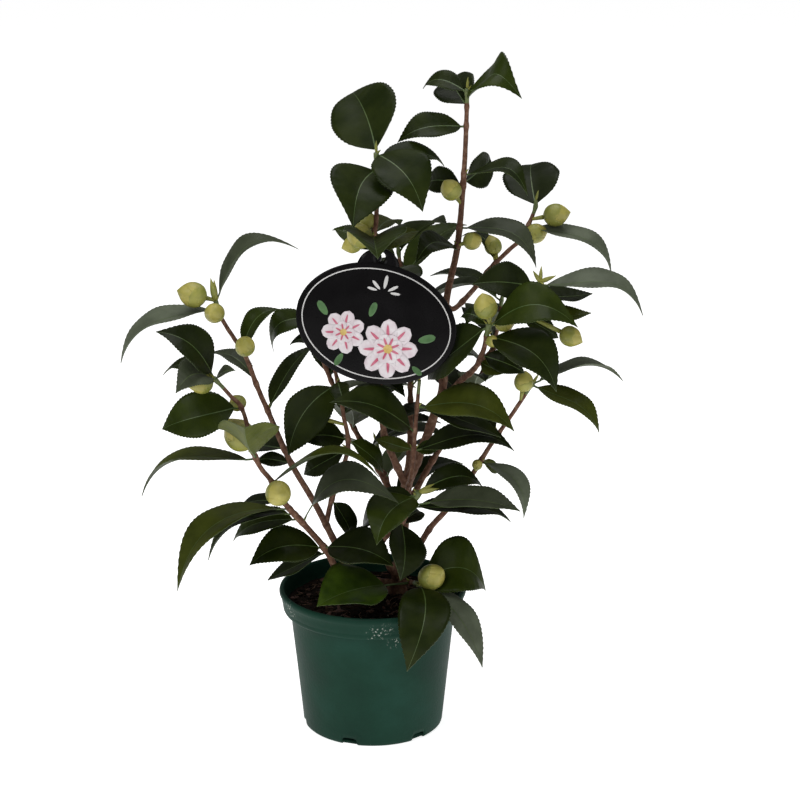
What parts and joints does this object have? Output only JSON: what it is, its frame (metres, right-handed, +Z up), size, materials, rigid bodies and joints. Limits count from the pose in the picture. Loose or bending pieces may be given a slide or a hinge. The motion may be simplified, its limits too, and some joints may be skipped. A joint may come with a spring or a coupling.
{
  "type": "potted camellia shrub",
  "caption": "Evergreen camellia shrub with glossy leaves and fat flower buds on upright stems, in a round plastic nursery pot with an oval hanging label.",
  "frame": {"origin": "centre of the pot's flat underside, on the surface it stands on", "axes": "+Z up, +X to the viewer's right, +Y to the back; the label faces -Y"},
  "size_m": [0.3973, 0.2908, 0.5387],
  "materials": {
    "pot": "satin",
    "soil": "matte",
    "bark": "matte",
    "foliage": "satin",
    "label": "gloss"
  },
  "bodies": {
    "root": {"pot": "pot", "soil": "soil", "trunk": "bark", "bough_tall_leader": "bark", "bough_left_leader": "bark", "bough_right_shoulder": "bark", "bough_right_front": "bark", "bough_right_middle": "bark", "bough_right_low": "bark", "bough_front_middle": "bark", "bough_front_low": "bark", "bough_left_front": "bark", "bough_left_tall": "bark", "bough_left_inner": "bark", "bough_foot": "bark", "bough_back_left": "bark", "bough_back_right": "bark", "bough_back_middle": "bark", "bough_back_low": "bark", "foliage_tall_leader": "foliage", "foliage_left_leader": "foliage", "foliage_right_shoulder": "foliage", "foliage_right_front": "foliage", "foliage_right_middle": "foliage", "foliage_right_low": "foliage", "foliage_front_middle": "foliage", "foliage_front_low": "foliage", "foliage_left_front": "foliage", "foliage_left_tall": "foliage", "foliage_left_inner": "foliage", "foliage_foot": "foliage", "foliage_back_left": "foliage", "foliage_back_right": "foliage", "foliage_back_middle": "foliage", "foliage_back_low": "foliage", "plant_label": "label"}
  },
  "joints": []
}
